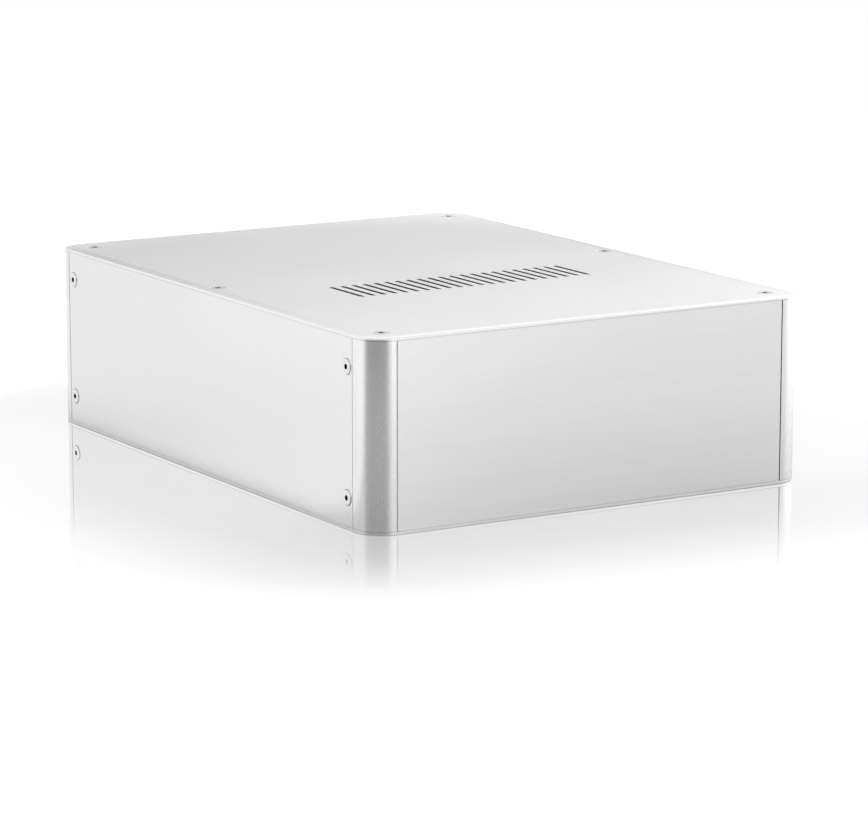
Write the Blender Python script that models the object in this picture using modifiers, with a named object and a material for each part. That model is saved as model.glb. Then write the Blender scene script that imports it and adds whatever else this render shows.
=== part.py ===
"""An empty amplifier chassis: aluminium plates held between four extruded corner pillars.

Units are metres and +Z is up. The origin is the middle of the footprint, on the surface that the
chassis stands on, and the front panel faces -Y. Each wall is a flat plate flush with the pillars.
The two covers are stepped plates: a thin lip lies over the wall edges, and the body is let in
between the walls.
"""

import math

import bmesh
import bpy
from mathutils import Matrix, Vector

MM = 0.001

# The case as a whole
WIDTH = 240.0 * MM
DEPTH = 322.7 * MM
HEIGHT = 90.7 * MM
CORNER_RADIUS = 13.5 * MM

# Clearances
FIT = 0.3 * MM             # between pieces that seat on, in or round each other
LIP_SEAM = 0.1 * MM        # between a cover's lip and the wall edges below it
PANEL_REVEAL = 0.3 * MM    # the open joint beside the front and rear panels

# Walls and covers
WALL = 4.0 * MM
COVER_THICKNESS = 3.0 * MM
LIP_THICKNESS = 1.5 * MM
ROLL_OFF_WIDTH = 6.0 * MM       # the band where the top cover's face falls softly to its rim
ROLL_OFF_DROP = 0.3 * MM
TOP_RIM_RADIUS = 0.5 * MM       # the rounded edge of the top cover's rim
BOTTOM_RIM_RADIUS = 0.2 * MM    # the bottom plate is flat right up to this smaller one
FRONT_CHAMFER = 0.3 * MM     # on the upright edges of the front and rear panels
SIDE_CHAMFER = 0.2 * MM      # on the upright edges of the side panels

# Tongues of the front and rear panels, and the pillar grooves that take them
TONGUE_THICKNESS = 1.8 * MM
TONGUE_REACH = 2.6 * MM      # how far a tongue goes into its pillar

# Corner pillars
FRONT_LAND = 0.25 * MM         # flat stretch between the round corner and the front or rear panel
SIDE_LAND_AT_FRONT = 2.4 * MM  # flat stretch between the round corner and the side panel
SIDE_LAND_AT_REAR = 1.1 * MM
PANEL_BACKING = 3.65 * MM      # how far the pillar reaches behind the front or rear panel
FLANGE_THICKNESS = 3.0 * MM    # the flange behind the side panel
FLANGE_BEYOND_SCREW = 6.2 * MM
PORT_WALL = 1.9 * MM           # metal round the screw port
CHAMBER_WALL = 2.0 * MM        # metal outside the hollow chamber
CHAMBER_DEPTH = 4.0 * MM
CHAMBER_START = 195.0          # degrees round the corner's centre
CHAMBER_MARGIN = 12.0          # degrees between the chamber and the groove

# Countersunk screws with a hexagon socket
SHANK_RADIUS = 2.0 * MM
HEAD_RADIUS = 3.7 * MM
SIDE_HEAD_CROWN = 0.45 * MM    # the rounded crown, which stands out of the side panel
COVER_HEAD_EDGE = 0.15 * MM    # the rounded edge of the flat heads in the covers
TOP_HEAD_RECESS = 0.05 * MM    # how far those heads lie inside the top cover's face
BOTTOM_HEAD_RECESS = 0.25 * MM
SOCKET_ACROSS_FLATS = 2.5 * MM
SOCKET_DEPTH = 1.6 * MM
TIP_CHAMFER = 0.4 * MM
COVER_SCREW_LENGTH = 10.0 * MM
SIDE_SCREW_LENGTH = 8.0 * MM
PILOT_EXTRA = 0.6 * MM         # how much deeper a blind hole is than its screw

# Where the screws are
COVER_SCREW_FROM_SIDE = 14.0 * MM
COVER_SCREW_FROM_FRONT = 14.4 * MM
COVER_SCREW_FROM_REAR = 16.2 * MM
SIDE_SCREW_FROM_END = 5.0 * MM      # from the side panel's end
SIDE_SCREW_FROM_TOP = 15.3 * MM
SIDE_SCREW_FROM_BOTTOM = 14.85 * MM

# Standoffs under the screws at the middle of the sides
POST_WALL = 1.7 * MM
POST_GAP = 0.7 * MM            # between a standoff and its side panel
POST_CHAMFER = 0.4 * MM

# Vent slots in the top cover
SLOT_WIDTH = 2.65 * MM
SLOT_LENGTH = 32.2 * MM
SLOT_PITCH = 6.08 * MM
SLOT_ROW_Y = -42.2 * MM
SLOT_MARGIN = 53.0 * MM        # unslotted cover at each side of the row
SLOT_CHAMFER = 0.2 * MM        # round each slot's mouth

# How finely round shapes are divided
CORNER_STEPS = 20
CIRCLE_STEPS = 20
SLOT_END_STEPS = 6
ROLL_OFF_STEPS = 3
EDGE_STEPS = 2                 # of a rim's or a crown's rounded edge
OVERCUT = 0.5 * MM             # how far a cutter stands clear of what it cuts
WELD = 0.001 * MM

# Sizes that follow from those above
hole_radius = SHANK_RADIUS + FIT
top_head_depth = COVER_HEAD_EDGE + TOP_HEAD_RECESS
bottom_head_depth = COVER_HEAD_EDGE + BOTTOM_HEAD_RECESS
post_radius = hole_radius + POST_WALL
post_x = WIDTH / 2 - WALL - POST_GAP - post_radius
wall_bottom = LIP_THICKNESS + LIP_SEAM
wall_top = HEIGHT - wall_bottom
front_leg = CORNER_RADIUS + FRONT_LAND
side_leg_at_front = CORNER_RADIUS + SIDE_LAND_AT_FRONT
side_leg_at_rear = CORNER_RADIUS + SIDE_LAND_AT_REAR
tongue_face = WALL - TONGUE_THICKNESS

SATIN_ALUMINIUM = (0.80, 0.80, 0.81, 1.0)
BRUSHED_ALUMINIUM = (0.78, 0.78, 0.79, 1.0)
BARE_ALUMINIUM = (0.74, 0.75, 0.76, 1.0)
PLATED_STEEL = (0.62, 0.62, 0.63, 1.0)


def clear_scene():
    for old in list(bpy.data.objects):
        bpy.data.objects.remove(old, do_unlink=True)


def new_collection(name):
    collection = bpy.data.collections.new(name)
    bpy.context.scene.collection.children.link(collection)
    return collection


def finish(name, colour, roughness, metallic=1.0):
    """A material of its own for each sub-part."""
    material = bpy.data.materials.new(name + "_finish")
    material.use_nodes = True
    shader = material.node_tree.nodes["Principled BSDF"]
    shader.inputs["Base Color"].default_value = colour
    shader.inputs["Roughness"].default_value = roughness
    shader.inputs["Metallic"].default_value = metallic
    return material


def arc(centre, radius, start, end, steps):
    """Points on an arc from one angle to another, in degrees, with both ends."""
    angles = [math.radians(start + (end - start) * step / steps) for step in range(steps + 1)]
    return [(centre[0] + radius * math.cos(a), centre[1] + radius * math.sin(a)) for a in angles]


def circle(centre, radius):
    return arc(centre, radius, 0, 360, CIRCLE_STEPS)[:-1]


def rounded_rectangle(width, depth, radius):
    points = []
    for side_x, side_y, start in ((1, 1, 0), (-1, 1, 90), (-1, -1, 180), (1, -1, 270)):
        centre = (side_x * (width / 2 - radius), side_y * (depth / 2 - radius))
        points += arc(centre, radius, start, start + 90, CORNER_STEPS)
    return points


def inset_outline(inset):
    """The case's outline, moved inwards by an even amount."""
    return rounded_rectangle(WIDTH - 2 * inset, DEPTH - 2 * inset, CORNER_RADIUS - inset)


def slot_outline(centre, width, length):
    """A slot along Y with round ends."""
    reach = (length - width) / 2
    rear = arc((centre[0], centre[1] + reach), width / 2, 0, 180, SLOT_END_STEPS)
    front = arc((centre[0], centre[1] - reach), width / 2, 180, 360, SLOT_END_STEPS)
    return rear + front


def evaluated_mesh(guide, name):
    """The guide's evaluated shape as a welded mesh in world space. The guide is removed."""
    bpy.context.scene.collection.objects.link(guide)
    bpy.context.view_layer.update()
    graph = bpy.context.evaluated_depsgraph_get()
    mesh = bpy.data.meshes.new_from_object(guide.evaluated_get(graph))
    mesh.name = name
    mesh.transform(guide.matrix_world)
    bpy.data.objects.remove(guide, do_unlink=True)
    edit = bmesh.new()
    edit.from_mesh(mesh)
    bmesh.ops.remove_doubles(edit, verts=edit.verts, dist=WELD)
    bmesh.ops.recalc_face_normals(edit, faces=edit.faces)
    edit.to_mesh(mesh)
    edit.free()
    return mesh


def extruded(name, outlines, low, high):
    """A flat outline drawn in X and Y, with any holes, carried from one height to another."""
    curve = bpy.data.curves.new(name, "CURVE")
    curve.dimensions = "2D"
    curve.fill_mode = "BOTH"
    curve.extrude = (high - low) / 2
    for outline in outlines:
        spline = curve.splines.new("POLY")
        spline.points.add(len(outline) - 1)
        for point, (x, y) in zip(spline.points, outline):
            point.co = (x, y, 0, 1)
        spline.use_cyclic_u = True
    guide = bpy.data.objects.new(name, curve)
    guide.location.z = (low + high) / 2
    return evaluated_mesh(guide, name)


def turned(name, profile):
    """A profile of radius and height, spun about Z. It runs down the outside, top to bottom."""
    outline = bpy.data.meshes.new(name)
    links = [(i, i + 1) for i in range(len(profile) - 1)]
    outline.from_pydata([(radius, 0, height) for radius, height in profile], links, [])
    guide = bpy.data.objects.new(name, outline)
    spin = guide.modifiers.new("spin", "SCREW")
    spin.angle = math.tau
    spin.steps = CIRCLE_STEPS
    spin.render_steps = CIRCLE_STEPS
    spin.use_merge_vertices = True
    spin.merge_threshold = WELD
    return evaluated_mesh(guide, name)


def joined(name, meshes_and_places):
    """Copies of meshes, each at its own place, in one mesh."""
    edit = bmesh.new()
    for mesh, place in meshes_and_places:
        copy = mesh.copy()
        copy.transform(place)
        edit.from_mesh(copy)
        bpy.data.meshes.remove(copy)
    mesh = bpy.data.meshes.new(name)
    edit.to_mesh(mesh)
    edit.free()
    return mesh


def piece(name, mesh, colour, roughness, cutters=()):
    """A named sub-part, with the cuts made in it."""
    part = bpy.data.objects.new(name, mesh)
    chassis.objects.link(part)
    part.parent = datum
    part.data.materials.clear()
    part.data.materials.append(finish(name, colour, roughness))
    mesh.shade_smooth()
    mesh.set_sharp_from_angle(angle=math.radians(30))
    for cutter in cutters:
        cut = part.modifiers.new(cutter.name, "BOOLEAN")
        cut.operation = "DIFFERENCE"
        cut.solver = "EXACT"
        cut.object = cutter
    return part


def cutter_object(name, mesh):
    cutter = bpy.data.objects.new(name, mesh)
    cutter_collection.objects.link(cutter)
    cutter.parent = datum
    cutter.display_type = "WIRE"
    cutter.hide_render = True
    return cutter


def screw_mesh(name, length, crown):
    """A countersunk screw along Z, its tip down and its widest circle, below the crown, at zero."""
    edge = arc((HEAD_RADIUS - crown, 0), crown, 90, 0, EDGE_STEPS)
    body = turned(name + "_body", [(0, crown)] + edge + [
        (SHANK_RADIUS, SHANK_RADIUS - HEAD_RADIUS),
        (SHANK_RADIUS, TIP_CHAMFER - length),
        (SHANK_RADIUS - TIP_CHAMFER, -length),
        (0, -length),
    ])
    corner_radius = SOCKET_ACROSS_FLATS / math.sqrt(3)
    hexagon = arc((0, 0), corner_radius, 0, 360, 6)[:-1]
    socket_mesh = extruded(name + "_socket", [hexagon], crown - SOCKET_DEPTH, crown + OVERCUT)
    socket = cutter_object(name + "_socket", socket_mesh)
    guide = bpy.data.objects.new(name, body)
    cut = guide.modifiers.new("socket", "BOOLEAN")
    cut.operation = "DIFFERENCE"
    cut.solver = "EXACT"
    cut.object = socket
    return evaluated_mesh(guide, name)


def screw_hole_mesh(name, length, depth):
    """What a screw takes out: its countersink, then a plain hole past its tip.

    The surface is at zero, and the head's widest circle lies at the given depth below it.
    """
    mouth = HEAD_RADIUS + FIT + depth
    end = -(depth + length + PILOT_EXTRA)
    return turned(name, [
        (0, OVERCUT),
        (mouth + OVERCUT, OVERCUT),
        (hole_radius, hole_radius - mouth),
        (hole_radius, end),
        (0, end),
    ])


def cover_screw_spots():
    """Name and place of each cover screw: four over the pillars and two over the standoffs."""
    x = WIDTH / 2 - COVER_SCREW_FROM_SIDE
    front = -DEPTH / 2 + COVER_SCREW_FROM_FRONT
    rear = DEPTH / 2 - COVER_SCREW_FROM_REAR
    return [
        ("front_left", -x, front),
        ("front_right", x, front),
        ("middle_left", -post_x, 0.0),
        ("middle_right", post_x, 0.0),
        ("rear_left", -x, rear),
        ("rear_right", x, rear),
    ]


def side_screw_spots():
    """Name and place, along Y and Z, of each screw in a side panel."""
    front = -DEPTH / 2 + side_leg_at_front + FIT + SIDE_SCREW_FROM_END
    rear = DEPTH / 2 - side_leg_at_rear - FIT - SIDE_SCREW_FROM_END
    low = SIDE_SCREW_FROM_BOTTOM
    high = HEIGHT - SIDE_SCREW_FROM_TOP
    return [
        ("front_upper", front, high),
        ("front_lower", front, low),
        ("rear_upper", rear, high),
        ("rear_lower", rear, low),
    ]


def on_top(x, y, depth=0.0):
    return Matrix.Translation((x, y, HEIGHT - depth))


def underneath(x, y, depth=0.0):
    return Matrix.Translation((x, y, depth)) @ Matrix.Rotation(math.pi, 4, "X")


def on_side(side, y, z):
    """A place on the left (-1) or right (+1) face, with the screw's head outwards."""
    turn = Matrix.Rotation(side * math.pi / 2, 4, "Y")
    return Matrix.Translation((side * WIDTH / 2, y, z)) @ turn


def faces_towards(edit, direction):
    return [face for face in edit.faces if face.normal.z * direction > 0.9]


def rounded_rim(radius):
    """A quarter circle, as distances inwards and upwards from its foot on the rim."""
    return [(radius - x, y) for x, y in arc((0, 0), radius, 0, 90, EDGE_STEPS)]


def roll_off_rim():
    """The top cover's rim: the rounded edge, then the roll-off, a parabola that ends level."""
    band = ROLL_OFF_WIDTH - TOP_RIM_RADIUS
    points = rounded_rim(TOP_RIM_RADIUS)
    for step in range(1, ROLL_OFF_STEPS + 1):
        share = step / ROLL_OFF_STEPS
        rise = ROLL_OFF_DROP * (1 - (1 - share) ** 2)
        points.append((TOP_RIM_RADIUS + band * share, TOP_RIM_RADIUS + rise))
    return points


def stepped_plate_mesh(name, profile):
    """A cover without its cuts, as it lies on top, with the given profile to its rim.

    The lip starts as a plain plate. Its upper face is inset and raised along the profile. Its lower
    face is inset to the walls' inner side and pulled down for the body.
    """
    rim_foot = HEIGHT - profile[-1][1]
    mesh = extruded(name, [inset_outline(0)], HEIGHT - LIP_THICKNESS, rim_foot)
    edit = bmesh.new()
    edit.from_mesh(mesh)
    upper = faces_towards(edit, 1)
    lower = faces_towards(edit, -1)
    for (inwards, upwards), (next_inwards, next_upwards) in zip(profile, profile[1:]):
        bmesh.ops.inset_region(
            edit,
            faces=upper,
            thickness=next_inwards - inwards,
            depth=next_upwards - upwards,
            use_even_offset=True,
        )
    bmesh.ops.inset_region(edit, faces=lower, thickness=WALL + FIT, depth=0, use_even_offset=True)
    body = bmesh.ops.extrude_face_region(edit, geom=lower)
    pulled = [item for item in body["geom"] if isinstance(item, bmesh.types.BMVert)]
    bmesh.ops.translate(edit, verts=pulled, vec=(0, 0, LIP_THICKNESS - COVER_THICKNESS))
    bmesh.ops.delete(edit, geom=lower, context="FACES")
    bmesh.ops.recalc_face_normals(edit, faces=edit.faces)
    edit.to_mesh(mesh)
    edit.free()
    return mesh


def bottom_plate_mesh(name):
    """The bottom plate is such a plate turned over about Y."""
    mesh = stepped_plate_mesh(name, rounded_rim(BOTTOM_RIM_RADIUS))
    mesh.transform(Matrix.Translation((0, 0, HEIGHT)) @ Matrix.Rotation(math.pi, 4, "Y"))
    return mesh


def slot_mesh():
    """What one vent slot takes out. It flares at its mouth, by as much as it rises there."""
    flare = SLOT_CHAMFER + OVERCUT
    outline = slot_outline((0, 0), SLOT_WIDTH, SLOT_LENGTH)
    mesh = extruded("slot", [outline], HEIGHT - COVER_THICKNESS - OVERCUT, HEIGHT - SLOT_CHAMFER)
    edit = bmesh.new()
    edit.from_mesh(mesh)
    upper = faces_towards(edit, 1)
    mouth = bmesh.ops.extrude_face_region(edit, geom=upper)
    half_spine = (SLOT_LENGTH - SLOT_WIDTH) / 2
    for vertex in [item for item in mouth["geom"] if isinstance(item, bmesh.types.BMVert)]:
        spine_y = max(-half_spine, min(half_spine, vertex.co.y))
        outwards = Vector((vertex.co.x, vertex.co.y - spine_y, 0)).normalized()
        vertex.co += outwards * flare
        vertex.co.z += flare
    bmesh.ops.delete(edit, geom=upper, context="FACES")
    bmesh.ops.recalc_face_normals(edit, faces=edit.faces)
    edit.to_mesh(mesh)
    edit.free()
    return mesh


def slots_mesh():
    """The row of vent slots, as many as fit between the margins."""
    count = int((WIDTH - 2 * SLOT_MARGIN) / SLOT_PITCH)
    first = -(count - 1) / 2 * SLOT_PITCH
    slot = slot_mesh()
    places = [Matrix.Translation((first + number * SLOT_PITCH, SLOT_ROW_Y, 0)) for number in range(count)]
    return joined("vent_slots", [(slot, place) for place in places])


def end_panel_mesh(name, side):
    """The front (-1) or rear (+1) panel, drawn from above: chamfered face, tongue at each end."""
    half = WIDTH / 2 - front_leg - PANEL_REVEAL
    tip = half + PANEL_REVEAL + TONGUE_REACH
    right_half = [
        (half - FRONT_CHAMFER, 0),
        (half, FRONT_CHAMFER),
        (half, tongue_face),
        (tip, tongue_face),
        (tip, WALL),
    ]
    left_half = [(-x, inwards) for x, inwards in reversed(right_half)]
    outline = [(x, side * (DEPTH / 2 - inwards)) for x, inwards in right_half + left_half]
    return extruded(name, [outline], wall_bottom, wall_top)


def side_panel_mesh(name, side):
    """The left (-1) or right (+1) panel, drawn from above, between the front and rear pillars."""
    front = -DEPTH / 2 + side_leg_at_front + FIT
    rear = DEPTH / 2 - side_leg_at_rear - FIT
    outline = [
        (0, front + SIDE_CHAMFER),
        (0, rear - SIDE_CHAMFER),
        (SIDE_CHAMFER, rear),
        (WALL, rear),
        (WALL, front),
        (SIDE_CHAMFER, front),
    ]
    placed = [(side * (WIDTH / 2 - inwards), y) for inwards, y in outline]
    return extruded(name, [placed], wall_bottom, wall_top)


def pillar_outlines(side_leg, port_from_end):
    """The pillar's section: its outline, its screw port and its hollow chamber.

    Points are distances inwards from the side face and from the front or rear face. Round the outline
    come the round corner, the groove for the panel's tongue, the block with the screw port, the
    flange that the side panel is screwed to, and the shoulder that the side panel ends at.
    """
    corner_centre = (CORNER_RADIUS, CORNER_RADIUS)
    port = (COVER_SCREW_FROM_SIDE, port_from_end)
    port_reach = hole_radius + PORT_WALL
    groove_floor = front_leg - TONGUE_REACH - FIT
    groove_face = tongue_face - FIT
    seat = WALL + FIT
    block_side = max(front_leg + PANEL_REVEAL + PANEL_BACKING, port[0] + port_reach)
    block_end = max(port[1] + port_reach, side_leg)
    flange_face = seat + FLANGE_THICKNESS
    flange_end = side_leg + FIT + SIDE_SCREW_FROM_END + FLANGE_BEYOND_SCREW
    outline = arc(corner_centre, CORNER_RADIUS, 180, 270, CORNER_STEPS)
    outline += [
        (front_leg, 0),
        (front_leg, groove_face),
        (groove_floor, groove_face),
        (groove_floor, seat),
        (block_side, seat),
    ]
    outline += arc((block_side - port_reach, block_end - port_reach), port_reach, 0, 90, CIRCLE_STEPS // 4)
    outline += [
        (flange_face, block_end),
        (flange_face, flange_end),
        (seat, flange_end),
        (seat, side_leg),
        (0, side_leg),
    ]
    groove_angle = math.degrees(math.atan2(seat - CORNER_RADIUS, groove_floor - CORNER_RADIUS)) % 360
    chamber_end = groove_angle - CHAMBER_MARGIN
    outer = CORNER_RADIUS - CHAMBER_WALL
    inner = outer - CHAMBER_DEPTH
    chamber = arc(corner_centre, outer, CHAMBER_START, chamber_end, CORNER_STEPS // 2)
    chamber += arc(corner_centre, inner, chamber_end, CHAMBER_START, CORNER_STEPS // 3)
    return [outline, circle(port, hole_radius), chamber]


def pillar_mesh(name, side_x, side_y):
    if side_y < 0:
        outlines = pillar_outlines(side_leg_at_front, COVER_SCREW_FROM_FRONT)
    else:
        outlines = pillar_outlines(side_leg_at_rear, COVER_SCREW_FROM_REAR)
    placed = [
        [(side_x * (WIDTH / 2 - across), side_y * (DEPTH / 2 - along)) for across, along in outline]
        for outline in outlines
    ]
    return extruded(name, placed, wall_bottom, wall_top)


def cover_recess_mesh():
    """The room that both covers' bodies take out of the pillars' ends."""
    reach = COVER_THICKNESS + FIT
    outline = inset_outline(WALL)
    low = extruded("recess_below", [outline], -OVERCUT, reach)
    high = extruded("recess_above", [outline], HEIGHT - reach, HEIGHT + OVERCUT)
    return joined("cover_recesses", [(low, Matrix()), (high, Matrix())])


def post_mesh(name, x):
    """A hexagonal standoff with chamfered ends, its flats square to the side panel."""
    corner_radius = post_radius / math.cos(math.pi / 6)
    low = COVER_THICKNESS + FIT
    hexagon = [(x + px, py) for px, py in arc((0, 0), corner_radius, 30, 390, 6)[:-1]]
    mesh = extruded(name, [hexagon], low + POST_CHAMFER, HEIGHT - low - POST_CHAMFER)
    edit = bmesh.new()
    edit.from_mesh(mesh)
    for direction in (1, -1):
        bmesh.ops.inset_region(
            edit,
            faces=faces_towards(edit, direction),
            thickness=POST_CHAMFER,
            depth=POST_CHAMFER,
            use_even_offset=True,
        )
    edit.to_mesh(mesh)
    edit.free()
    return mesh


clear_scene()
chassis = new_collection("amplifier_chassis")
cutter_collection = new_collection("cutters")
datum = bpy.data.objects.new("chassis_datum", None)
chassis.objects.link(datum)

cover_screw = screw_mesh("cover_screw", COVER_SCREW_LENGTH, COVER_HEAD_EDGE)
side_screw = screw_mesh("side_screw", SIDE_SCREW_LENGTH, SIDE_HEAD_CROWN)
top_hole = screw_hole_mesh("top_screw_hole", COVER_SCREW_LENGTH, top_head_depth)
bottom_hole = screw_hole_mesh("bottom_screw_hole", COVER_SCREW_LENGTH, bottom_head_depth)
side_hole = screw_hole_mesh("side_screw_hole", SIDE_SCREW_LENGTH, 0.0)

top_holes = cutter_object(
    "top_screw_holes",
    joined("top_screw_holes", [(top_hole, on_top(x, y)) for _, x, y in cover_screw_spots()]),
)
bottom_holes = cutter_object(
    "bottom_screw_holes",
    joined("bottom_screw_holes", [(bottom_hole, underneath(x, y)) for _, x, y in cover_screw_spots()]),
)
side_holes = cutter_object(
    "side_screw_holes",
    joined(
        "side_screw_holes",
        [(side_hole, on_side(side, y, z)) for side in (-1, 1) for _, y, z in side_screw_spots()],
    ),
)
cover_recesses = cutter_object("cover_recesses", cover_recess_mesh())
vent_slots = cutter_object("vent_slots", slots_mesh())

top_cover = stepped_plate_mesh("top_cover", roll_off_rim())
piece("top_cover", top_cover, SATIN_ALUMINIUM, 0.38, [top_holes, vent_slots])
piece("bottom_plate", bottom_plate_mesh("bottom_plate"), SATIN_ALUMINIUM, 0.38, [bottom_holes])

piece("front_panel", end_panel_mesh("front_panel", -1), BRUSHED_ALUMINIUM, 0.32)
piece("rear_panel", end_panel_mesh("rear_panel", 1), BRUSHED_ALUMINIUM, 0.32)
piece("left_side_panel", side_panel_mesh("left_side_panel", -1), SATIN_ALUMINIUM, 0.38, [side_holes])
piece("right_side_panel", side_panel_mesh("right_side_panel", 1), SATIN_ALUMINIUM, 0.38, [side_holes])

for end_name, end_y in (("front", -1), ("rear", 1)):
    for side_name, side_x in (("left", -1), ("right", 1)):
        pillar_name = end_name + "_" + side_name + "_pillar"
        pillar = pillar_mesh(pillar_name, side_x, end_y)
        piece(pillar_name, pillar, BARE_ALUMINIUM, 0.3, [cover_recesses, side_holes])

for side_name, side_x in (("left", -1), ("right", 1)):
    post_name = side_name + "_post"
    piece(post_name, post_mesh(post_name, side_x * post_x), BARE_ALUMINIUM, 0.35, [top_holes, bottom_holes])

for spot, x, y in cover_screw_spots():
    top_screw = piece("top_screw_" + spot, cover_screw, PLATED_STEEL, 0.3)
    top_screw.matrix_basis = on_top(x, y, top_head_depth)
    bottom_screw = piece("bottom_screw_" + spot, cover_screw, PLATED_STEEL, 0.3)
    bottom_screw.matrix_basis = underneath(x, y, bottom_head_depth)

for side_name, side in (("left", -1), ("right", 1)):
    for spot, y, z in side_screw_spots():
        screw = piece(side_name + "_screw_" + spot, side_screw, PLATED_STEEL, 0.3)
        screw.matrix_basis = on_side(side, y, z)
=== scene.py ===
import math

import bpy
import numpy as np
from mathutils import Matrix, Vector


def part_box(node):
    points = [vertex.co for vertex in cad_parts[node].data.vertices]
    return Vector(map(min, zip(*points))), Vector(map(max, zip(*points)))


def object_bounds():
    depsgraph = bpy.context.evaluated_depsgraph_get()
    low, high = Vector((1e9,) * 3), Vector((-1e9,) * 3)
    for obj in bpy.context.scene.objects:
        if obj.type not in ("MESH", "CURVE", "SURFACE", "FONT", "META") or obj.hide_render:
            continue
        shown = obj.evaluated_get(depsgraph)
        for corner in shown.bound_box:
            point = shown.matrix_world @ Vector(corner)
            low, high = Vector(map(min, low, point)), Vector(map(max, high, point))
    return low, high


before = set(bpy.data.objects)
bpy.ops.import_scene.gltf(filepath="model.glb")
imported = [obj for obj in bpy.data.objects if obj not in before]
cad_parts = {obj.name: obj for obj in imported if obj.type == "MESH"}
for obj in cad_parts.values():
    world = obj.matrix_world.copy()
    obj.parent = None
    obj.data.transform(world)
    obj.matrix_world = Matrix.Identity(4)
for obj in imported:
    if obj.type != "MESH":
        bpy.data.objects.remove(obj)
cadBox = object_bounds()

# The look of an empty aluminium amplifier chassis: satin covers, brushed panels, extruded round
# corners and sunk socket screws, on a white gloss table in a round light tent.

imageWidth = 868    # pixels
mm = 0.001

caseLow, caseHigh = cadBox
caseHalf = (caseHigh - caseLow) / 2

# places of the outputs of nodes that have more than one
rayOutputs = {"camera": 0, "glossy": 3, "transmission": 6}    # of Light Path
objectOutput = 3         # of Texture Coordinate
backfacingOutput = 6     # of Geometry


class Socket:
    # one output of a node; arithmetic on it adds Math nodes
    def __init__(self, tree, link):
        self.tree = tree
        self.link = link

    def maths(self, operation, *others):
        return self.tree.add("ShaderNodeMath", {"operation": operation}, [self, *others])

    def __add__(self, other):
        return self.maths("ADD", other)

    def __radd__(self, other):
        return self.maths("ADD", other)

    def __sub__(self, other):
        return self.maths("SUBTRACT", other)

    def __rsub__(self, other):
        return self.tree.add("ShaderNodeMath", {"operation": "SUBTRACT"}, [other, self])

    def __mul__(self, other):
        return self.maths("MULTIPLY", other)

    def __rmul__(self, other):
        return self.maths("MULTIPLY", other)

    def __truediv__(self, other):
        return self.maths("DIVIDE", other)

    def __rtruediv__(self, other):
        return self.tree.add("ShaderNodeMath", {"operation": "DIVIDE"}, [other, self])

    def __neg__(self):
        return self.maths("MULTIPLY", -1.0)

    def __abs__(self):
        return self.maths("ABSOLUTE")

    def power(self, exponent):
        return self.maths("POWER", exponent)

    def smaller(self, other):
        return self.maths("MINIMUM", other)

    def larger(self, other):
        return self.maths("MAXIMUM", other)

    def smooth(self, low, high):
        # 0 below low, 1 above high, with a soft step between
        settings = {"interpolation_type": "SMOOTHSTEP", "clamp": True}
        inputs = {"Value": self, "From Min": low, "From Max": high}
        return self.tree.add("ShaderNodeMapRange", settings, inputs)


def grey(level):
    return (level, level, level, 1)


class Shader:
    # a node tree that is built by calls
    def __init__(self, tree):
        self.tree = tree
        tree.nodes.clear()

    def add(self, kind, settings=None, inputs=None, out=0):
        # any node: its settings first, then a value or a link for each input, by place or by name
        node = self.tree.nodes.new(kind)
        for key, value in (settings or {}).items():
            if key == "stops":
                self.setStops(node.color_ramp, value)
            else:
                setattr(node, key, value)
        pairs = inputs.items() if isinstance(inputs, dict) else enumerate(inputs or [])
        for key, value in pairs:
            if isinstance(value, Socket):
                self.tree.links.new(value.link, node.inputs[key])
            else:
                node.inputs[key].default_value = value
        return Socket(self, node.outputs[out])

    def setStops(self, ramp, stops):
        while len(ramp.elements) < len(stops):
            ramp.elements.new(1.0)
        for element, (place, level) in zip(ramp.elements, stops):
            element.position = place
            element.color = grey(level)

    def axes(self, vector):
        split = self.tree.nodes.new("ShaderNodeSeparateXYZ")
        self.tree.links.new(vector.link, split.inputs[0])
        return [Socket(self, output) for output in split.outputs]

    def vector(self, x, y, z):
        return self.add("ShaderNodeCombineXYZ", None, [x, y, z])

    def noise(self, vector, scale, detail, roughness):
        # noise about 0.5, at a scale in cycles for each unit of the vector
        return self.add("ShaderNodeTexNoise", None, {
            "Vector": vector, "Scale": scale, "Detail": detail, "Roughness": roughness,
        })

    def tinted(self, colour, shade):
        # a colour that is made lighter or darker by a number about 1
        level = self.vector(shade, shade, shade)
        return self.add("ShaderNodeVectorMath", {"operation": "MULTIPLY"}, [level, colour])

    def bump(self, height, distance, strength):
        inputs = {"Height": height, "Distance": distance, "Strength": strength}
        return self.add("ShaderNodeBump", None, inputs)

    def metal(self, colour, shade, roughness, normal):
        return self.add("ShaderNodeBsdfPrincipled", None, {
            "Base Color": self.tinted(colour, shade),
            "Metallic": 1.0,
            "Roughness": roughness,
            "Normal": normal,
        })

    def matt(self, level):
        return self.add("ShaderNodeBsdfDiffuse", None, {"Color": grey(level)})

    def gloss(self, roughness):
        return self.add("ShaderNodeBsdfGlossy", None, {"Color": grey(1), "Roughness": roughness})

    def glow(self, level):
        # white light, whose level may change over a surface
        colour = level if isinstance(level, Socket) else grey(level)
        return self.add("ShaderNodeEmission", None, {"Color": colour, "Strength": 1.0})

    def mixed(self, factor, first, second):
        return self.add("ShaderNodeMixShader", None, [factor, first, second])

    def sum(self, first, second):
        return self.add("ShaderNodeAddShader", None, [first, second])

    def ray(self, kind):
        # 1 for this kind of ray
        return self.add("ShaderNodeLightPath", out=rayOutputs[kind])

    def close(self, shader, kind="ShaderNodeOutputMaterial"):
        output = self.tree.nodes.new(kind)
        self.tree.links.new(shader.link, output.inputs["Surface"])


def newMaterial(name):
    material = bpy.data.materials.new(name)
    material.use_nodes = True
    return material, Shader(material.node_tree)


def place(shader):
    return shader.add("ShaderNodeTexCoord", out=objectOutput)


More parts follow.
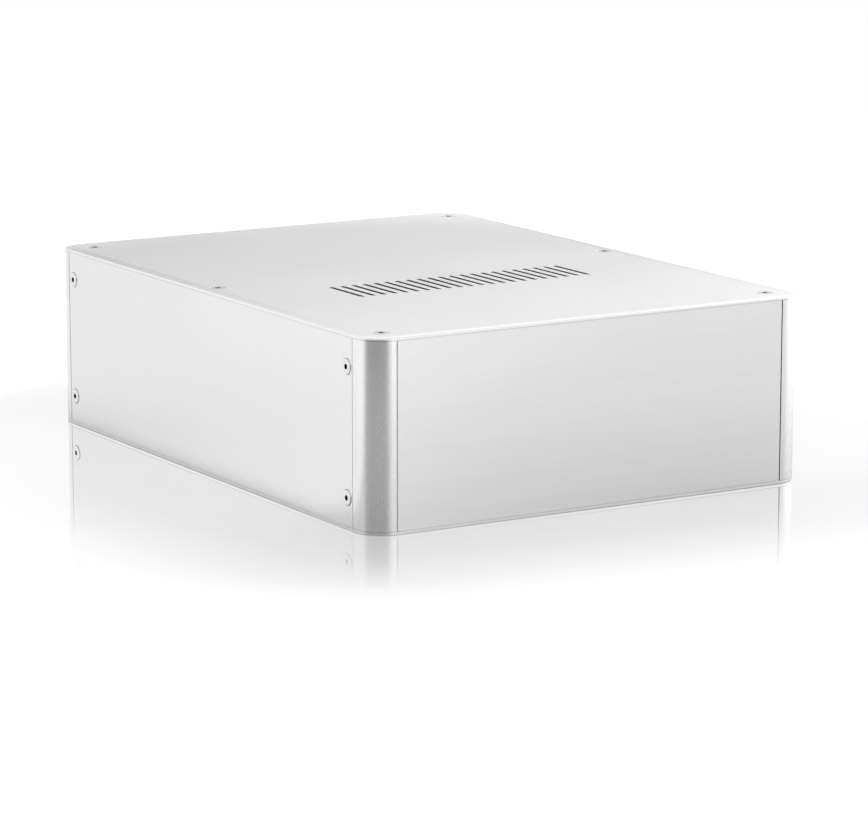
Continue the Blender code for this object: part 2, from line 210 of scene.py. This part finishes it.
def insetFromRim(x, y, radius):
    # how far inside the rounded outline of the case a point lies, in metres
    cornerX = (abs(x) - (caseHalf.x - radius)).larger(0)
    cornerY = (abs(y) - (caseHalf.y - radius)).larger(0)
    fromCorner = (cornerX * cornerX + cornerY * cornerY).power(0.5)
    return radius - fromCorner


coverLook = {
    "colour": (0.845, 0.845, 0.85),
    "roughness": 0.36,
    "grain": 5200,           # grains for each metre
    "grainRough": 0.06,
    "grainDepth": 0.006 * mm,
    "grainShare": 0.7,       # of the relief; the rolling marks have the rest
    "relief": 0.5,
    "markLength": 15,        # rolling marks along them and across them, for each metre
    "markWidth": 400,
    "markShade": 0.04,
    "cloud": 14,             # broad unevenness of the anodising, for each metre
    "cloudShade": 0.03,
    "cloudRough": 0.05,
    "cornerRadius": 13.5 * mm,
    "rimWidth": 6.0 * mm,    # the rolled-off rim, which is smoother
    "rimEdge": 0.04,
    "rimRough": 0.06,
    "slotInset": (12 * mm, 13 * mm),     # painted shade on the slots' walls: further in from the outline than this, further down from the top than this, and so light against the face
    "slotDepth": (0.25 * mm, 0.1 * mm),  # this, further down from the top than this,
    "slotPaintedShade": 0.45,                   # and so light against the face
}


def coverFinish():
    look = coverLook
    material, shader = newMaterial("satinCover")
    spot = place(shader)
    x, y, z = shader.axes(spot)
    grain = shader.noise(spot, look["grain"], 2.0, 0.6)
    long, wide = look["markLength"], look["markWidth"]
    mark = shader.noise(shader.vector(x * long, y * wide, z * wide), 1.0, 3.0, 0.6)
    cloud = shader.noise(spot, look["cloud"], 3.0, 0.5)
    inside = insetFromRim(x, y, look["cornerRadius"])
    width, edge = look["rimWidth"], look["rimEdge"]
    rim = 1 - inside.smooth(width * (1 - edge), width * (1 + edge))
    deep, shallow = look["slotDepth"]
    # painted shade on the walls of the vent slots, below the top face
    paintedSlotShade = inside.smooth(*look["slotInset"]) * (1 - z.smooth(caseHigh.z - deep, caseHigh.z - shallow))
    shade = 1 + (cloud - 0.5) * look["cloudShade"] + (mark - 0.5) * look["markShade"]
    shade = shade * (1 - paintedSlotShade * (1 - look["slotPaintedShade"]))
    rough = look["roughness"] + (grain - 0.5) * look["grainRough"] + (cloud - 0.5) * look["cloudRough"]
    rough = rough - rim * look["rimRough"]
    height = grain * look["grainShare"] + mark * (1 - look["grainShare"])
    normal = shader.bump(height, look["grainDepth"], look["relief"])
    shader.close(shader.metal(look["colour"], shade, rough, normal))
    return material


panelLook = {
    "colour": (0.83, 0.83, 0.835),
    "roughness": 0.34,
    "streakLength": 14,      # fine streaks along the brushing, for each metre
    "streakWidth": 2600,     # and across it
    "streakDepth": 0.008 * mm,
    "streakShade": 0.05,
    "streakRough": 0.10,
    "relief": 0.45,
    "broadLength": 0.4,      # broad streaks, against the fine ones: how many along the brushing,
    "broadWidth": 0.3,       # how many across it,
    "broadShade": 1.2,       # and how strong in shade
    "broadRough": 0.05,
    "cloud": 11,
    "cloudShade": 0.03,
}
sideChanges = {"streakShade": 0.03, "cloudShade": 0.05, "roughness": 0.38}


def brushedFinish(name, along, changes=None):
    # brushed aluminium: noise drawn out along the X or Y axis, in two widths
    look = {**panelLook, **(changes or {})}
    material, shader = newMaterial(name)
    spot = place(shader)
    x, y, z = shader.axes(spot)

    def streaks(long, wide, detail, roughness):
        if along == "x":
            drawn = shader.vector(x * long, y * wide, z * wide)
        else:
            drawn = shader.vector(x * wide, y * long, z * wide)
        return shader.noise(drawn, 1.0, detail, roughness)

    long, wide = look["streakLength"], look["streakWidth"]
    fine = streaks(long, wide, 4.0, 0.65)
    broad = streaks(long * look["broadLength"], wide * look["broadWidth"], 3.0, 0.6)
    cloud = shader.noise(spot, look["cloud"], 3.0, 0.55)
    streak = (fine - 0.5) + (broad - 0.5) * look["broadShade"]
    shade = 1 + streak * look["streakShade"] + (cloud - 0.5) * look["cloudShade"]
    rough = look["roughness"] + (fine - 0.5) * look["streakRough"] + (broad - 0.5) * look["broadRough"]
    normal = shader.bump(fine, look["streakDepth"], look["relief"])
    shader.close(shader.metal(look["colour"], shade, rough, normal))
    return material


pillarLook = {
    "colour": (0.82, 0.82, 0.825),
    "roughness": 0.27,
    "lineWidth": 1500,       # upright die lines: round the pillar and up it, for each metre
    "lineLength": 9,
    "lineShade": 0.03,
    "lineRough": 0.03,
    "lineShare": 0.6,        # of the relief; the marks across have the rest
    "crossWidth": 60,        # fine marks across the lines: round the pillar and up it
    "crossLength": 2400,
    "crossShade": 0.02,
    "depth": 0.006 * mm,
    "relief": 0.1,
    "blot": 160,
    "blotShade": 0.02,
    "blotRough": 0.02,
}


def pillarFinish():
    # extruded aluminium: faint upright die lines and small blots left by the anodising
    look = pillarLook
    material, shader = newMaterial("extrudedPillar")
    spot = place(shader)
    x, y, z = shader.axes(spot)
    wide, long = look["lineWidth"], look["lineLength"]
    line = shader.noise(shader.vector(x * wide, y * wide, z * long), 1.0, 3.0, 0.6)
    wide, long = look["crossWidth"], look["crossLength"]
    cross = shader.noise(shader.vector(x * wide, y * wide, z * long), 1.0, 2.0, 0.5)
    blot = shader.noise(spot, look["blot"], 3.0, 0.6)
    shade = 1 + (line - 0.5) * look["lineShade"] + (blot - 0.5) * look["blotShade"]
    shade = shade + (cross - 0.5) * look["crossShade"]
    rough = look["roughness"] + (line - 0.5) * look["lineRough"] + (blot - 0.5) * look["blotRough"]
    height = line * look["lineShare"] + cross * (1 - look["lineShare"])
    normal = shader.bump(height, look["depth"], look["relief"])
    shader.close(shader.metal(look["colour"], shade, rough, normal))
    return material


screwLook = {
    "x": {"colour": (0.80, 0.80, 0.80), "socketPaintedShade": 0.12},    # in the side panels
    "z": {"colour": (0.66, 0.66, 0.66), "socketPaintedShade": 0.35},    # flat heads in the covers
    "roughness": 0.30,
    "rings": 3000,           # turning marks, for each metre outwards from the axis
    "ringShade": 0.12,
    "ringRough": 0.12,
    "ringDepth": 0.01 * mm,
    "relief": 0.4,
    "speckle": 4000,
    "speckleShade": 0.05,
    "socketRadius": 1.5 * mm,
    "socketEdge": 0.03,
    "socketDepth": (0.1 * mm, 0.02 * mm),    # the painted shade starts at this depth under the head's face
}


def screwFinish(node, axis):
    # plated steel with turning marks round its own axis, and painted shade in its hex recess
    look = {**screwLook, **screwLook[axis]}
    low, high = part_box(node)
    centre = (low + high) / 2
    material, shader = newMaterial(node + "Steel")
    spot = place(shader)
    offset = shader.add("ShaderNodeVectorMath", {"operation": "SUBTRACT"}, [spot, tuple(centre)])
    x, y, z = shader.axes(offset)
    first, second, depth = (x, y, z) if axis == "z" else (y, z, x)
    fromAxis = (first * first + second * second).power(0.5)
    rings = shader.noise(shader.vector(fromAxis * look["rings"], 0.0, 0.0), 1.0, 2.0, 0.6)
    speckle = shader.noise(spot, look["speckle"], 2.0, 0.6)
    radius, edge = look["socketRadius"], look["socketEdge"]
    outside = fromAxis.smooth(radius * (1 - edge), radius * (1 + edge))
    halfLength = ((high - low).z if axis == "z" else (high - low).x) / 2
    deep, shallow = look["socketDepth"]
    sunk = 1 - abs(depth).smooth(halfLength - deep, halfLength - shallow)
    # painted shade inside the hex recess, below the head's face
    socket = (1 - outside) * sunk
    shade = 1 + (rings - 0.5) * look["ringShade"] + (speckle - 0.5) * look["speckleShade"]
    shade = shade * (1 - socket * (1 - look["socketPaintedShade"]))
    rough = look["roughness"] + (rings - 0.5) * look["ringRough"]
    normal = shader.bump(rings, look["ringDepth"], look["relief"])
    shader.close(shader.metal(look["colour"], shade, rough, normal))
    return material


postLook = {
    "colour": (0.70, 0.71, 0.72),
    "roughness": 0.40,
    "markWidth": 40,         # turning marks: round the post and along it, for each metre
    "markLength": 2500,
    "markShade": 0.12,
    "markRough": 0.10,
    "markDepth": 0.01 * mm,
    "relief": 0.4,
    "blot": 200,
    "blotShade": 0.05,
}


def postFinish():
    look = postLook
    material, shader = newMaterial("turnedPost")
    spot = place(shader)
    x, y, z = shader.axes(spot)
    wide, long = look["markWidth"], look["markLength"]
    mark = shader.noise(shader.vector(x * wide, y * wide, z * long), 1.0, 2.0, 0.6)
    blot = shader.noise(spot, look["blot"], 2.0, 0.5)
    shade = 1 + (mark - 0.5) * look["markShade"] + (blot - 0.5) * look["blotShade"]
    rough = look["roughness"] + (mark - 0.5) * look["markRough"]
    normal = shader.bump(mark, look["markDepth"], look["relief"])
    shader.close(shader.metal(look["colour"], shade, rough, normal))
    return material


def giveFinish(node, material):
    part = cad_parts[node]
    part.data.materials.clear()
    part.data.materials.append(material)
    part.data.polygons.foreach_set("material_index", np.zeros(len(part.data.polygons), np.int32))


def dressChassis():
    cover = coverFinish()
    front = brushedFinish("brushedEndPanel", "x")
    side = brushedFinish("satinSidePanel", "y", sideChanges)
    pillar = pillarFinish()
    post = postFinish()
    for node in sorted(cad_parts):
        if "screw" in node:
            giveFinish(node, screwFinish(node, "x" if node.startswith(("left", "right")) else "z"))
        elif "pillar" in node:
            giveFinish(node, pillar)
        elif "post" in node:
            giveFinish(node, post)
        elif "side_panel" in node:
            giveFinish(node, side)
        elif node.endswith("_panel"):
            giveFinish(node, front)
        else:
            giveFinish(node, cover)
    print("finishes given to", len(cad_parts), "pieces")


cameraFit = {
    "place": (-0.97365, -1.64036, 0.39770),
    "azimuth": -30.948,      # degrees, 0 looks along +Y
    "elevation": 11.182,
    "focal": 3897.2,         # pixels
    "sensor": 36.0,
    "nearest": 0.05,         # metres that the camera sees from and to
    "farthest": 60,
}


def addCamera():
    fit = cameraFit
    azimuth, elevation = math.radians(fit["azimuth"]), math.radians(fit["elevation"])
    back = Vector((
        math.sin(azimuth) * math.cos(elevation),
        -math.cos(azimuth) * math.cos(elevation),
        math.sin(elevation),
    ))
    data = bpy.data.cameras.new("studioCamera")
    data.sensor_width = fit["sensor"]
    data.lens = fit["focal"] * fit["sensor"] / imageWidth
    data.clip_start = fit["nearest"]
    data.clip_end = fit["farthest"]
    camera = bpy.data.objects.new("studioCamera", data)
    bpy.context.scene.collection.objects.link(camera)
    camera.location = fit["place"]
    camera.rotation_mode = "QUATERNION"
    camera.rotation_quaternion = (-back).to_track_quat("-Z", "Y")
    bpy.context.scene.camera = camera
    print("camera set")


def newThing(name, points, faces, material):
    # one mesh object of the stage, in the scene
    mesh = bpy.data.meshes.new(name)
    mesh.from_pydata(points, [], faces)
    thing = bpy.data.objects.new(name, mesh)
    thing.data.materials.append(material)
    bpy.context.scene.collection.objects.link(thing)
    return thing


def uprightWall(radius, height, azimuths, closed):
    # points and faces of a wall round the middle, whose faces point outwards
    count = len(azimuths)
    line = np.column_stack([radius * np.sin(azimuths), -radius * np.cos(azimuths)])
    foot = np.column_stack([line, np.zeros(count)])
    brim = np.column_stack([line, np.full(count, height)])
    here = np.arange(count if closed else count - 1)
    after = (here + 1) % count
    faces = np.column_stack([here, after, after + count, here + count])
    return np.vstack([foot, brim]).tolist(), faces.tolist()


tableLook = {
    "size": 12.0,
    "drop": 0.05 * mm,       # below the underside of the case
    "diffuse": 0.77,
    "ior": 1.45,             # of the clear gloss on the white
    "gloss": 0.10,
    "underlight": 0.20,      # light from below, away from the case, that the metal mirrors
    "underlightRise": (0.15, 0.60),    # metres from the case's middle
    "cardNear": 0.36,        # a white card that lies on the table beside the left side panel: its
    "cardFar": 0.17,         # light at the near end and at the far end
    "cardCorner": (-0.125, -0.12),     # its near right corner, in metres
    "cardEdge": (0.01, 0.03),          # its soft edges on the right and at the near end
    "cardFade": 0.34,        # metres from its near end to where its light is the lower one
    "beyondEdge": 0.01,      # outside the tent the metal mirrors pure white
    "seenDiffuse": 0.30,     # for the camera: what takes the shadow, and own light up to white, lowered at the case's foot as a painted shadow, and 1 from paintedShadowReach metres away from it
    "paintedShadowLight": 0.52,       # at the case's foot, and 1 from paintedShadowReach metres away from it
    "paintedShadowReach": 0.20,
    # how strong the mirror image is, by shares of mirrorReach
    "mirror": [(0.0, 0.85), (0.15, 0.80), (0.45, 0.60), (0.64, 0.28), (0.80, 0.22), (1.0, 0.0)],
    "mirrorReach": 0.30,     # metres from the case's middle along the view
    "mirrorRough": 0.02,
}


def tableAsLit(shader, x, y):
    # what the case sees: white under a clear gloss, and light for the metal to mirror
    look = tableLook
    fresnel = shader.add("ShaderNodeFresnel", None, {"IOR": look["ior"]})
    top = shader.mixed(fresnel, shader.matt(look["diffuse"]), shader.gloss(look["gloss"]))
    cardX, cardY = look["cardCorner"]
    edgeX, edgeY = look["cardEdge"]
    onCard = (1 - x.smooth(cardX - edgeX, cardX)) * y.smooth(cardY, cardY + edgeY)
    fade = y.smooth(cardY, cardY + look["cardFade"])
    card = onCard * (look["cardNear"] + fade * (look["cardFar"] - look["cardNear"]))
    away = (x * x + y * y).power(0.5)
    below = away.smooth(*look["underlightRise"]) * look["underlight"] + card
    beyond = away.smooth(tentLook["radius"], tentLook["radius"] + look["beyondEdge"])
    mirrored = shader.ray("glossy").larger(shader.ray("transmission"))
    return shader.sum(top, shader.glow(mirrored * below.larger(beyond)))


def tableAsSeen(shader, x, y):
    # what the camera sees: the case's mirror image, which fades along the view from the case's
    # middle, over a white that keeps the shadow, has a painted shadow round the case's foot and is pure
    # away from the case
    look = tableLook
    aside = (abs(x) - caseHigh.x).larger(0.0)
    ahead = (abs(y) - caseHigh.y).larger(0.0)
    apart = (aside * aside + ahead * ahead).power(0.5)
    # painted shadow: the table's own light is lower near the case's walls
    light = look["paintedShadowLight"] + apart.smooth(0.0, look["paintedShadowReach"]) * (1 - look["paintedShadowLight"])
    body = shader.sum(shader.matt(look["seenDiffuse"]), shader.glow(light))
    azimuth = math.radians(cameraFit["azimuth"])
    forward = abs(x * math.sin(azimuth) - y * math.cos(azimuth))
    reached = (forward / look["mirrorReach"]).smaller(1.0)
    mirror = shader.add("ShaderNodeValToRGB", {"stops": look["mirror"]}, [reached])
    return shader.mixed(mirror, body, shader.gloss(look["mirrorRough"]))


def addTable():
    # a white table under a clear gloss, which shows the case's reflection, keeps its shadow and has a
    # painted shadow round the case's foot
    material, shader = newMaterial("whiteGloss")
    x, y, _ = shader.axes(place(shader))
    lit, seen = tableAsLit(shader, x, y), tableAsSeen(shader, x, y)
    shader.close(shader.mixed(shader.ray("camera"), lit, seen))
    half = tableLook["size"] / 2
    height = caseLow.z - tableLook["drop"]
    corners = [(x, y, height) for x, y in ((-half, -half), (half, -half), (half, half), (-half, half))]
    table = newThing("tableTop", corners, [(0, 1, 2, 3)], material)
    print("table laid")


tentLook = {
    "faces": 180,
    "radius": 0.80,          # metres
    "height": 0.82,
    "cloth": 1.10,           # the lit cloth all round
    "roof": 0.65,
    "roofRadius": 0.57,
    "darkest": 0.10,
    # a lighter or darker panel of the cloth: its azimuth, half width and edge in degrees, its lower and
    # upper end and edge in metres, and what it adds
    "panels": {
        "opening": (-39, 38, 36, 0.00, 0.33, 0.15, -1.85),
        "leftTop": (-150, 30, 40, 0.45, 1.60, 0.20, -0.15),
        "nearGap": (35, 12, 15, 0.00, 0.30, 0.20, -0.20),
        "nearLamp": (-1, 15, 14, 0.00, 0.27, 0.20, 1.05),
        "rightLamp": (93, 36, 26, 0.00, 0.15, 0.23, 0.90),
        "backLamp": (130, 25, 32, 0.25, 1.60, 0.30, 0.35),
        "backGap": (155, 26, 25, 0.21, 0.33, 0.05, -1.15),
    },
}


def panelLight(shader, azimuth, height, panel):
    # what one panel of the tent adds, with soft edges
    middle, half, edge, low, high, border, level = panel
    turned = shader.add("ShaderNodeMath", {"operation": "WRAP"}, [azimuth - middle, 180.0, -180.0])
    across = 1 - abs(turned).smooth(half - edge / 2, half + edge / 2)
    mask = across * (1 - height.smooth(high - border / 2, high + border / 2))
    if low > 0:
        mask = mask * height.smooth(low - border / 2, low + border / 2)
    return mask * level


def addTent():
    # a round light tent, open and dark where the photographer stands; the camera doesn't see it
    look = tentLook
    azimuths = np.linspace(-np.pi, np.pi, look["faces"], endpoint=False)
    material, shader = newMaterial("tentCloth")
    x, y, z = shader.axes(place(shader))
    azimuth = shader.add("ShaderNodeMath", {"operation": "ARCTAN2"}, [x, -y]) * (180 / math.pi)
    light = look["cloth"]
    for panel in look["panels"].values():
        light = light + panelLight(shader, azimuth, z, panel)
    shader.close(shader.glow(light.larger(look["darkest"])))
    points, faces = uprightWall(look["radius"], look["height"], azimuths, True)
    tent = newThing("lightTent", points, faces, material)
    material, shader = newMaterial("roofCloth")
    shader.close(shader.glow(look["roof"]))
    points, faces = uprightWall(look["roofRadius"], look["height"], azimuths, True)
    brim = points[look["faces"]:]
    roof = newThing("tentRoof", brim, [list(range(look["faces"]))], material)
    for cloth in (tent, roof):
        cloth.visible_camera = False
    print("tent lit")


sweepLook = {
    "faces": 59,
    "radius": 0.26,          # metres
    "height": 0.115,
    "light": 1.0,
    "ends": (75, 235),       # azimuths in degrees
}


def addSweep():
    # a low white sweep behind the case: the table mirrors it as white, and the covers see over it.
    # Only its inner side is there, so that other views see the case's mirror image past it
    look = sweepLook
    material, shader = newMaterial("sweepPaper")
    inner = shader.add("ShaderNodeNewGeometry", out=backfacingOutput)
    nothing = shader.add("ShaderNodeBsdfTransparent", None, {"Color": grey(1)})
    shader.close(shader.mixed(inner, nothing, shader.glow(look["light"])))
    azimuths = np.radians(np.linspace(*look["ends"], look["faces"] + 1))
    points, faces = uprightWall(look["radius"], look["height"], azimuths, False)
    sweep = newThing("whiteSweep", points, faces, material)
    sweep.visible_camera = False
    print("sweep stood up")


def addBackdrop():
    # the white room outside the tent
    world = bpy.data.worlds.new("whiteRoom")
    bpy.context.scene.world = world
    world.use_nodes = True
    shader = Shader(world.node_tree)
    strength = shader.ray("camera").larger(shader.ray("glossy")).larger(shader.ray("transmission"))
    white = shader.add("ShaderNodeBackground", None, {"Color": grey(1), "Strength": strength})
    shader.close(white, "ShaderNodeOutputWorld")
    print("backdrop hung")


scene = bpy.context.scene
scene.view_settings.view_transform = "Standard"
dressChassis()
addCamera()
addTable()
addTent()
addSweep()
addBackdrop()
